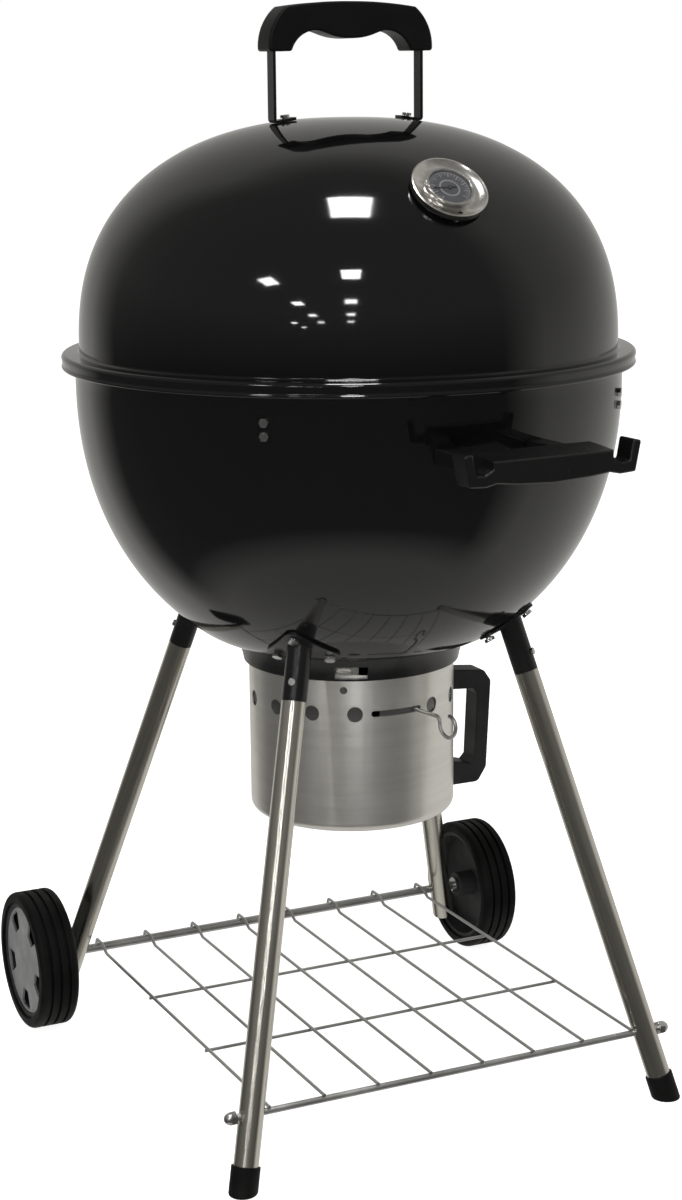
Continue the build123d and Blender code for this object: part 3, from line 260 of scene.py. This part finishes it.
def dial_strokes(count=28, outer=19.2 * MM, high=0.12 * MM):
    """Each stroke is a thin box: a radius out, a half width to each side, and a height above the dial."""
    angle = np.radians(np.linspace(-135, 135, count))[:, None, None]
    long_one = (np.arange(count) % 3 == 0)[:, None, None]
    reach = np.array([0.0, 1.0, 1.0, 0.0, 0.0, 1.0, 1.0, 0.0])[None, :, None]
    side = np.array([-1.0, -1.0, 1.0, 1.0, -1.0, -1.0, 1.0, 1.0])[None, :, None]
    lift = np.array([0.0, 0.0, 0.0, 0.0, 1.0, 1.0, 1.0, 1.0])[None, :, None]
    inner = np.where(long_one, outer - 4.4 * MM, outer - 2.6 * MM)
    half = np.where(long_one, 0.6 * MM, 0.4 * MM)
    out = np.sin(angle) * dial_right + np.cos(angle) * dial_up
    across = np.cos(angle) * dial_right - np.sin(angle) * dial_up
    distance = inner + (outer - inner) * reach
    points = dial_face + distance * out + side * half * across + lift * high * dial_axis
    box = np.array([[0, 1, 2, 3], [7, 6, 5, 4], [0, 4, 5, 1], [1, 5, 6, 2], [2, 6, 7, 3], [3, 7, 4, 0]])
    faces = (np.arange(count)[:, None, None] * 8 + box).reshape(-1, 4)
    return mesh_piece("dial_strokes", points.reshape(-1, 3), faces, "lid")


strokes = dial_strokes()
ring_profile = [(19.6 * MM, 0.0), (20.3 * MM, 0.0), (20.3 * MM, 0.12 * MM), (19.6 * MM, 0.12 * MM)]
dial_ring = lathe("dial_ring", ring_profile, "lid", 96, 35.0, dial_face, dial_axis)
band_profile = [(9.0 * MM, 0.0), (10.6 * MM, 0.0), (10.6 * MM, 0.1 * MM), (9.0 * MM, 0.1 * MM)]
dial_band = lathe("dial_band", band_profile, "lid", 96, 35.0, dial_face, dial_axis)

# %% [markdown]
# ## Finishes as node groups
# Several finishes share an effect. Each effect is a group that takes numbers and puts out a mask
# or a height, and each material plugs it in with its own values.


# %% Helpers that build node trees
def new_group(name, inputs, outputs):
    """An empty shader node group with named float or vector sockets."""
    tree = bpy.data.node_groups.new(name, "ShaderNodeTree")
    for label, kind, value in inputs:
        socket = tree.interface.new_socket(name=label, in_out="INPUT", socket_type=kind)
        if kind == "NodeSocketFloat":
            socket.default_value = value
    for label, kind in outputs:
        tree.interface.new_socket(name=label, in_out="OUTPUT", socket_type=kind)
    return tree, tree.nodes.new("NodeGroupInput"), tree.nodes.new("NodeGroupOutput")


def add_node(tree, kind, links=(), **settings):
    """A node with its settings, and its inputs joined to other sockets or given values."""
    node = tree.nodes.new(kind)
    for key, value in settings.items():
        setattr(node, key, value)
    for socket, source in dict(links).items():
        if isinstance(source, bpy.types.NodeSocket):
            tree.links.new(source, node.inputs[socket])
        else:
            node.inputs[socket].default_value = source
    return node


def range_of(tree, value, low, high, to_low, to_high):
    """Map Range with clamping, as one call."""
    links = {"Value": value, "From Min": low, "From Max": high, "To Min": to_low, "To Max": to_high}
    return add_node(tree, "ShaderNodeMapRange", links).outputs["Result"]


def noise(tree, vector, scale, detail):
    """A noise texture on a vector, as one call."""
    return add_node(tree, "ShaderNodeTexNoise", {"Vector": vector, "Scale": scale, "Detail": detail})


# %% Group: soft unevenness of a poured or sprayed coat
F, V = "NodeSocketFloat", "NodeSocketVector"
coat, coat_in, coat_out = new_group(
    "coat_unevenness",
    [("Vector", V, None), ("Wave size", F, 90.0), ("Speck size", F, 900.0)],
    [("Height", F), ("Haze", F), ("Specks", F)],
)
wave = noise(coat, coat_in.outputs["Vector"], coat_in.outputs["Wave size"], 2.0)
cloud = noise(coat, coat_in.outputs["Vector"], 7.0, 5.0)
dust = add_node(
    coat,
    "ShaderNodeTexVoronoi",
    {"Vector": coat_in.outputs["Vector"], "Scale": coat_in.outputs["Speck size"]},
)
coat.links.new(wave.outputs["Fac"], coat_out.inputs["Height"])
coat.links.new(range_of(coat, cloud.outputs["Fac"], 0.42, 0.68, 0.0, 1.0), coat_out.inputs["Haze"])
coat.links.new(range_of(coat, dust.outputs["Distance"], 0.0, 0.09, 1.0, 0.0), coat_out.inputs["Specks"])

# %% Group: brush lines, long one way and fine the other
brush, brush_in, brush_out = new_group(
    "brush_lines",
    [("Vector", V, None), ("Fineness", F, 900.0)],
    [("Lines", F), ("Bands", F)],
)
fine = noise(brush, brush_in.outputs["Vector"], brush_in.outputs["Fineness"], 3.0)
broad = noise(brush, brush_in.outputs["Vector"], 120.0, 4.0)
brush.links.new(range_of(brush, fine.outputs["Fac"], 0.3, 0.7, 0.0, 1.0), brush_out.inputs["Lines"])
brush.links.new(range_of(brush, broad.outputs["Fac"], 0.35, 0.65, 0.0, 1.0), brush_out.inputs["Bands"])

# %% Group: moulded grain with rubbed patches
grain, grain_in, grain_out = new_group(
    "moulded_grain",
    [("Vector", V, None), ("Grain size", F, 1400.0)],
    [("Height", F), ("Rubbed", F)],
)
pits = noise(grain, grain_in.outputs["Vector"], grain_in.outputs["Grain size"], 2.0)
patch = noise(grain, grain_in.outputs["Vector"], 28.0, 4.0)
grain.links.new(pits.outputs["Fac"], grain_out.inputs["Height"])
grain.links.new(range_of(grain, patch.outputs["Fac"], 0.4, 0.7, 0.0, 1.0), grain_out.inputs["Rubbed"])


# %% Material helper
class Finish:
    """A material with its shader, its coordinates and short ways to plug groups into it."""

    def __init__(self, name, **sockets):
        self.material = bpy.data.materials.new(name)
        self.material.use_nodes = True
        self.tree = self.material.node_tree
        self.shader = self.tree.nodes["Principled BSDF"]
        for key, value in sockets.items():
            self.shader.inputs[key.replace("_", " ")].default_value = value
        self.place = add_node(self.tree, "ShaderNodeTexCoord").outputs["Object"]

    def stretched(self, scale, turn=(0, 0, 0)):
        """Object coordinates, turned and then scaled by different amounts on each axis."""
        turned = add_node(self.tree, "ShaderNodeMapping", {"Vector": self.place, "Rotation": turn})
        scaled = add_node(self.tree, "ShaderNodeMapping", {"Vector": turned.outputs[0], "Scale": scale})
        return scaled.outputs[0]

    def use(self, group, **inputs):
        node = add_node(self.tree, "ShaderNodeGroup", node_tree=group)
        for key, value in inputs.items():
            socket = node.inputs[key.replace("_", " ")]
            if isinstance(value, bpy.types.NodeSocket):
                self.tree.links.new(value, socket)
            else:
                socket.default_value = value
        return node.outputs

    def vary(self, socket, mask, low, high):
        """A number that goes from low to high with the mask."""
        self.tree.links.new(range_of(self.tree, mask, 0.0, 1.0, low, high), self.shader.inputs[socket])

    def tint(self, mask, low, high):
        """A base colour that goes from low to high with the mask."""
        mix = add_node(self.tree, "ShaderNodeMix", data_type="RGBA")
        self.tree.links.new(mask, mix.inputs[0])
        mix.inputs[6].default_value = (*low, 1)
        mix.inputs[7].default_value = (*high, 1)
        self.tree.links.new(mix.outputs[2], self.shader.inputs["Base Color"])

    def bump(self, height, strength, distance, edge=0.0):
        """Bump from a height, over edges that the shader rounds by a small radius."""
        links = {"Height": height, "Strength": strength, "Distance": distance}
        if edge:
            links["Normal"] = add_node(self.tree, "ShaderNodeBevel", {"Radius": edge}).outputs[0]
        bumped = add_node(self.tree, "ShaderNodeBump", links).outputs[0]
        self.tree.links.new(bumped, self.shader.inputs["Normal"])


def enamel_finish():
    """Black porcelain enamel: glass fused on steel, nearly mirror smooth, with a faint ripple."""
    f = Finish("black_enamel", IOR=1.52)
    skin = f.use(coat, Vector=f.place, Wave_size=70.0, Speck_size=420.0)
    f.tint(skin["Specks"], (0.0035, 0.0035, 0.0038), (0.02, 0.02, 0.02))
    f.vary("Roughness", skin["Haze"], 0.035, 0.085)
    f.bump(skin["Height"], 0.05, 0.0004)
    return f.material


def black_steel_finish():
    """Satin black paint on pressed steel, with a fine orange peel."""
    f = Finish("black_painted_steel", IOR=1.5, Specular_IOR_Level=0.4)
    skin = f.use(coat, Vector=f.place, Wave_size=300.0, Speck_size=700.0)
    f.tint(skin["Haze"], (0.004, 0.004, 0.0042), (0.008, 0.008, 0.008))
    f.vary("Roughness", skin["Haze"], 0.2, 0.34)
    f.bump(skin["Height"], 0.18, 0.0003, edge=0.0006)
    return f.material


def plastic_finish(name, dark, light, smooth, rough, size, depth, gloss=0.5):
    """Moulded plastic: a fine pitted grain that is shinier where hands have rubbed it."""
    f = Finish(name, IOR=1.48, Specular_IOR_Level=gloss)
    skin = f.use(grain, Vector=f.place, Grain_size=size)
    f.tint(skin["Rubbed"], dark, light)
    f.vary("Roughness", skin["Rubbed"], rough, smooth)
    f.bump(skin["Height"], depth, 0.0003, edge=0.0009)
    return f.material


def brushed_finish(name, dark, light, smooth, rough, scale, turn=(0, 0, 0), depth=0.12, metallic=1.0):
    """Brushed steel: lines drawn along one direction change the colour, the gloss and the bump."""
    f = Finish(name, Metallic=metallic)
    lines = f.use(brush, Vector=f.stretched(scale, turn), Fineness=900.0)
    f.tint(lines["Bands"], dark, light)
    f.vary("Roughness", lines["Lines"], smooth, rough)
    f.bump(lines["Lines"], depth, 0.0002, edge=0.0004)
    return f.material


def bright_finish(name, colour, smooth, rough):
    """Plated hardware: bright, with cloudy patches from handling and the plating bath."""
    f = Finish(name, Metallic=1.0)
    skin = f.use(grain, Vector=f.place, Grain_size=900.0)
    f.tint(skin["Rubbed"], tuple(0.8 * c for c in colour), colour)
    f.vary("Roughness", skin["Rubbed"], smooth, rough)
    f.bump(skin["Height"], 0.06, 0.0002, edge=0.0005)
    return f.material


enamel = enamel_finish()
black_steel = black_steel_finish()
gloss_plastic = plastic_finish(
    "gloss_black_plastic",
    dark=(0.004, 0.004, 0.0042),
    light=(0.007, 0.007, 0.007),
    smooth=0.2, rough=0.3, size=700.0, depth=0.08, gloss=0.4,
)
matt_plastic = plastic_finish(
    "matt_black_plastic",
    dark=(0.003, 0.003, 0.0031),
    light=(0.006, 0.006, 0.0062),
    smooth=0.34, rough=0.48, size=1500.0, depth=0.25, gloss=0.2,
)
grey_plastic = plastic_finish(
    "dark_grey_plastic",
    dark=(0.012, 0.012, 0.0123),
    light=(0.019, 0.019, 0.0195),
    smooth=0.38, rough=0.5, size=1500.0, depth=0.3, gloss=0.3,
)
hub_grey = plastic_finish(
    "hub_grey_plastic",
    dark=(0.15, 0.15, 0.152),
    light=(0.2, 0.2, 0.203),
    smooth=0.36, rough=0.5, size=1300.0, depth=0.2,
)
# Painted shade: the hub body behind the cover's windows is painted much darker than the cover's grey plastic,
# to stand for the shade in the depth seen through the windows.
hub_painted_shade = plastic_finish(
    "hub_body_painted_shade",
    dark=(0.03, 0.03, 0.03),
    light=(0.045, 0.045, 0.045),
    smooth=0.45, rough=0.6, size=1300.0, depth=0.2, gloss=0.3,
)
rubber = plastic_finish(
    "black_rubber",
    dark=(0.002, 0.002, 0.002),
    light=(0.005, 0.005, 0.005),
    smooth=0.5, rough=0.66, size=1200.0, depth=0.3, gloss=0.2,
)
bright = bright_finish("bright_zinc", (0.72, 0.72, 0.71), smooth=0.14, rough=0.3)
wire_metal = bright_finish("dull_plated_wire", (0.72, 0.72, 0.71), smooth=0.34, rough=0.5)
bucket_steel = brushed_finish(
    "bucket_steel",
    dark=(0.71, 0.695, 0.655),
    light=(0.77, 0.755, 0.715),
    smooth=0.28, rough=0.38, scale=(0.03, 0.03, 1.0), depth=0.05, metallic=0.94,
)
band_steel = brushed_finish(
    "band_steel",
    dark=(0.22, 0.22, 0.218),
    light=(0.28, 0.28, 0.275),
    smooth=0.45, rough=0.6, scale=(0.04, 0.04, 1.0), depth=0.05,
)
bezel_steel = brushed_finish(
    "bezel_steel",
    dark=(0.62, 0.60, 0.57),
    light=(0.76, 0.74, 0.71),
    smooth=0.14, rough=0.24, scale=(1.0, 1.0, 1.0), depth=0.012,
)
damper_metal = brushed_finish(
    "damper_alloy",
    dark=(0.55, 0.55, 0.55),
    light=(0.72, 0.72, 0.72),
    smooth=0.25, rough=0.4, scale=(1.0, 0.06, 0.06),
)
grate_metal = bright_finish("grate_wire", (0.6, 0.59, 0.57), smooth=0.2, rough=0.36)
burnt_wire = bright_finish("burnt_wire", (0.2, 0.19, 0.18), smooth=0.4, rough=0.6)
print("finishes ready:", len(bpy.data.materials))

# %% [markdown]
# ## Tubes brushed along their length
# Each leg leans a different way, so its brush lines need coordinates turned to its own
# direction. The leg's box gives its two ends, and the turn lays the tube along Z.


# %% A brushed finish for each leg
def leg_finish(node, side, back):
    """Lines along the tube: the pattern is turned to the leg and stretched along it."""
    low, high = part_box(node)
    run = Vector((-side * (high[0] - low[0]), -back * (high[1] - low[1]), high[2] - low[2])).normalized()
    turn = run.rotation_difference(Vector((0, 0, 1))).to_euler()
    return brushed_finish(
        f"tube_steel_{node}",
        dark=(0.60, 0.575, 0.515),
        light=(0.74, 0.72, 0.65),
        smooth=0.15, rough=0.24, scale=(1.0, 1.0, 0.012), turn=tuple(turn), depth=0.004,
    )


LEG_SIDES = {
    "leg_front_left": (-1, -1),
    "leg_front_right": (1, -1),
    "leg_rear_left": (-1, 1),
    "leg_rear_right": (1, 1),
}
leg_finishes = {node: leg_finish(node, *sides) for node, sides in LEG_SIDES.items()}

# %% Glass and dial
glass_finish = Finish("gauge_glass", Roughness=0.02, Transmission_Weight=1.0, IOR=1.45)
smear = glass_finish.use(coat, Vector=glass_finish.place, Wave_size=60.0, Speck_size=900.0)
glass_finish.bump(smear["Height"], 0.02, 0.0002)
dial_finish = Finish("dial_face", Metallic=0.25)
print_grain = dial_finish.use(grain, Vector=dial_finish.place, Grain_size=1600.0)
dial_finish.tint(print_grain["Rubbed"], (0.18, 0.19, 0.215), (0.23, 0.24, 0.27))
dial_finish.vary("Roughness", print_grain["Rubbed"], 0.35, 0.5)
dial_finish.bump(print_grain["Height"], 0.1, 0.0002)
mark_finish = plastic_finish(
    "dial_marks",
    dark=(0.62, 0.62, 0.63),
    light=(0.7, 0.7, 0.71),
    smooth=0.4, rough=0.5, size=1500.0, depth=0.05,
)
needle_finish = plastic_finish(
    "needle_paint",
    dark=(0.02, 0.02, 0.02),
    light=(0.03, 0.03, 0.03),
    smooth=0.35, rough=0.5, size=1500.0, depth=0.05,
)

# %% [markdown]
# ## Dressing the nodes
# A measured node keeps its shape and takes a finish. Its triangles are loose, so a weld joins
# them in a modifier, and an edge split keeps real corners crisp while curves shade smoothly.

# %% Give each node its finish
FINISH_OF = {
    "bowl_collar": black_steel,
    "bowl_handle": gloss_plastic,
    "lid_grip": matt_plastic,
    "bucket_handle": grey_plastic,
    "lid_damper": damper_metal,
    "cooking_grate": grate_metal,
    "charcoal_grate": burnt_wire,
    "thermometer_glass": glass_finish.material,
    "thermometer_dial": dial_finish.material,
    "thermometer_needle": needle_finish,
    "thermometer_bezel": bezel_steel,
    "ash_bucket": bucket_steel,
    "vent_band": band_steel,
    "bucket_clips": bucket_steel,
    **leg_finishes,
}
FINISH_BY_START = {
    "leg_socket": black_steel,
    "handle_bracket": black_steel,
    "grate_bracket_bolts": bright,
    "grate_bracket": black_steel,
    "lid_strap_screws": bright,
    "lid_strap": black_steel,
    "shelf_rod_nuts": bright,
    "shelf": wire_metal,
    "vent_lever": wire_metal,
    "wheel_axle": wire_metal,
    "tyre": rubber,
    "hub_cover": hub_grey,
    # the hub body takes a painted shade: it is darker than the cover so the cover's windows look shadowed
    "hub": hub_painted_shade,
    "axle_caps": wire_metal,
    "foot_cap": rubber,
    "": bright,
}


def finish_for(node):
    """The node's own finish, or the first one whose beginning matches its name."""
    if node in FINISH_OF:
        return FINISH_OF[node]
    return next(FINISH_BY_START[start] for start in FINISH_BY_START if node.startswith(start))


def dress(node, piece):
    """Puts the finish on a node and makes its curves shade smoothly."""
    piece.data.materials.clear()
    piece.data.materials.append(finish_for(node))
    piece.data.polygons.foreach_set("use_smooth", np.ones(len(piece.data.polygons), dtype=bool))
    weld = piece.modifiers.new("weld", "WELD")
    weld.merge_threshold = 1e-5
    split = piece.modifiers.new("crisp edges", "EDGE_SPLIT")
    split.split_angle = math.radians(28)


for node, piece in nodes.items():
    dress(node, piece)
lid_piece.data.materials.append(enamel)
bowl_piece.data.materials.append(enamel)
damper_seat.data.materials.append(enamel)
for mark in (strokes, dial_ring, dial_band):
    mark.data.materials.append(mark_finish)

# %% [markdown]
# ## Studio
# The eye sees a white floor and a white background. Black enamel shows only what it mirrors, so
# the room it mirrors is dark in front and pale on one side. The camera stands a little left of
# the grill's front, above the bowl, and looks down on it.

# %% Floor
bpy.ops.mesh.primitive_plane_add(size=60, location=(0, 0, 0))
floor = bpy.context.object
floor.name = "floor"
floor_finish = Finish("pale_floor", Roughness=0.9)
floor_finish.shader.inputs["Base Color"].default_value = (0.93, 0.93, 0.93, 1)
floor_finish.shader.inputs["Emission Color"].default_value = (1, 1, 1, 1)
floor_finish.shader.inputs["Emission Strength"].default_value = 0.9
floor.data.materials.append(floor_finish.material)
floor.visible_glossy = False

# %% Camera
CAM_TURN = math.radians(-25.8254)
CAM_FAR = 2.4613
CAM_HIGH = 1.0733
CAM_YAW = math.radians(0.2419)
CAM_PITCH = math.radians(12.622)
CAM_ROLL = math.radians(-0.5551)
facing = CAM_TURN + CAM_YAW
forward = Vector((-math.sin(facing), math.cos(facing), -math.tan(CAM_PITCH))).normalized()
level_right = forward.cross(Vector((0, 0, 1))).normalized()
level_up = level_right.cross(forward)
right = level_right * math.cos(CAM_ROLL) + level_up * math.sin(CAM_ROLL)
up = level_up * math.cos(CAM_ROLL) - level_right * math.sin(CAM_ROLL)
camera_data = bpy.data.cameras.new("camera")
camera_data.sensor_width = 36
camera_data.lens = 70.35
camera = bpy.data.objects.new("camera", camera_data)
bpy.context.scene.collection.objects.link(camera)
basis = Matrix((right, up, -forward)).transposed().to_4x4()
basis.translation = Vector((math.sin(CAM_TURN) * CAM_FAR, AXIS_Y - math.cos(CAM_TURN) * CAM_FAR, CAM_HIGH))
camera.matrix_world = basis
bpy.context.scene.camera = camera

# %% World: white to the eye, a hall to reflections
world = bpy.data.worlds.new("studio")
bpy.context.scene.world = world
world.use_nodes = True
bpy.context.scene.view_settings.view_transform = "Standard"
sky = world.node_tree
sky.nodes.clear()
toward = add_node(sky, "ShaderNodeTexCoord").outputs["Generated"]
parts = add_node(sky, "ShaderNodeSeparateXYZ", {0: toward})
rise = parts.outputs["Z"]
flat = add_node(sky, "ShaderNodeCombineXYZ", {0: parts.outputs["X"], 1: parts.outputs["Y"], 2: 0.0})
level_way = add_node(sky, "ShaderNodeVectorMath", {0: flat.outputs[0]}, operation="NORMALIZE")
bright_way = Vector((0.766, 0.643, 0))
toward_bright = {0: level_way.outputs[0], 1: bright_way}
beside = add_node(sky, "ShaderNodeVectorMath", toward_bright, operation="DOT_PRODUCT")


def blend_value(tree, share, low, high):
    """Low where the share is 0 and high where it is 1."""
    return add_node(tree, "ShaderNodeMix", {0: share, 2: low, 3: high}, data_type="FLOAT").outputs[0]


pale_side = range_of(sky, beside.outputs["Value"], 0.02, 0.40, 0.0, 1.0)
dark_hall = range_of(sky, rise, -0.1, 0.25, 0.075, 0.2)
pale_wall = range_of(sky, rise, -0.2, 0.2, 0.64, 0.46)
pale_roof = blend_value(sky, range_of(sky, rise, 0.8, 0.95, 0.0, 1.0), pale_wall, 0.2)
around = blend_value(sky, pale_side, dark_hall, pale_roof)
hall = blend_value(sky, range_of(sky, rise, -0.70, -0.84, 0.0, 1.0), around, 0.55)
hall_light = add_node(sky, "ShaderNodeBackground", {"Color": (1.0, 0.985, 0.94, 1), "Strength": hall})
white = add_node(sky, "ShaderNodeBackground", {"Color": (1, 1, 1, 1), "Strength": 1.0})
seen = add_node(sky, "ShaderNodeLightPath").outputs["Is Camera Ray"]
both = add_node(sky, "ShaderNodeMixShader", {0: seen, 1: hall_light.outputs[0], 2: white.outputs[0]})
add_node(sky, "ShaderNodeOutputWorld", {"Surface": both.outputs[0]})


# %% [markdown]
# ## Lamps
# Sharp reflections tell the eye how smooth the enamel is. Rows of square ceiling lamps give the
# lid its bright spots, which shrink and crowd together lower down, as a long hall's lamps do.


# %% Lamps
def lamp(name, place, aim, wide, tall, power):
    """A soft rectangular lamp at a place, turned to a point."""
    data = bpy.data.lights.new(name, "AREA")
    data.shape = "RECTANGLE"
    data.size = wide
    data.size_y = tall
    data.energy = power
    item = bpy.data.objects.new(name, data)
    item.location = place
    item.rotation_euler = (Vector(aim) - Vector(place)).to_track_quat("-Z", "Y").to_euler()
    bpy.context.scene.collection.objects.link(item)
    return item


ROOF = 3.6
ROOF_LIFT = ROOF - 1.0
ROW_PITCH = 1.28
SIDE_PITCH = 1.15
LAMP_WIDE = 0.62
LAMP_LONG = 0.73
LAMP_POWER = 42
row_way = Vector((-0.42, -0.907, 0))
side_way = Vector((-0.907, 0.42, 0))
first = Vector((-0.095, -0.237, 0))
for along, aside in ((0, 0), (1, 0), (2, 0), (3, 0), (4, 0), (1, 1), (2, 1), (3, 1), (4, 1), (4, 2), (5, 2)):
    spot = (first + row_way * ROW_PITCH * along + side_way * SIDE_PITCH * aside) * ROOF_LIFT
    place = (spot.x, spot.y + AXIS_Y, ROOF)
    panel = lamp(f"roof_lamp_{along}_{aside}", place, (place[0], place[1], 0), LAMP_WIDE, LAMP_LONG, LAMP_POWER)
    panel.rotation_euler = (0, 0, math.atan2(row_way.y, row_way.x) + math.pi / 2)

# %% Two tall soft panels for the bucket
# They stand far off on the left and give the brushed steel its upright highlights. They are
# linked to the bucket alone, because the enamel would mirror them as bright slits.
PANEL_FAR = 5.0
PANEL_HIGH = 0.75
PANEL_WIDE = 0.2
PANEL_TALL = 0.8
BUCKET_MIDDLE = 0.45
bucket_only = bpy.data.collections.new("bucket_only")
bucket_only.objects.link(nodes["ash_bucket"])
for turn, power in ((-55, 24), (-21, 40)):
    away = Vector((math.sin(math.radians(turn)), -math.cos(math.radians(turn)), 0)) * PANEL_FAR
    place = (away.x, away.y + AXIS_Y, PANEL_HIGH)
    aim = (AXIS_X, AXIS_Y, BUCKET_MIDDLE)
    panel = lamp(f"side_panel_{-turn}", place, aim, PANEL_WIDE, PANEL_TALL, power)
    panel.light_linking.receiver_collection = bucket_only
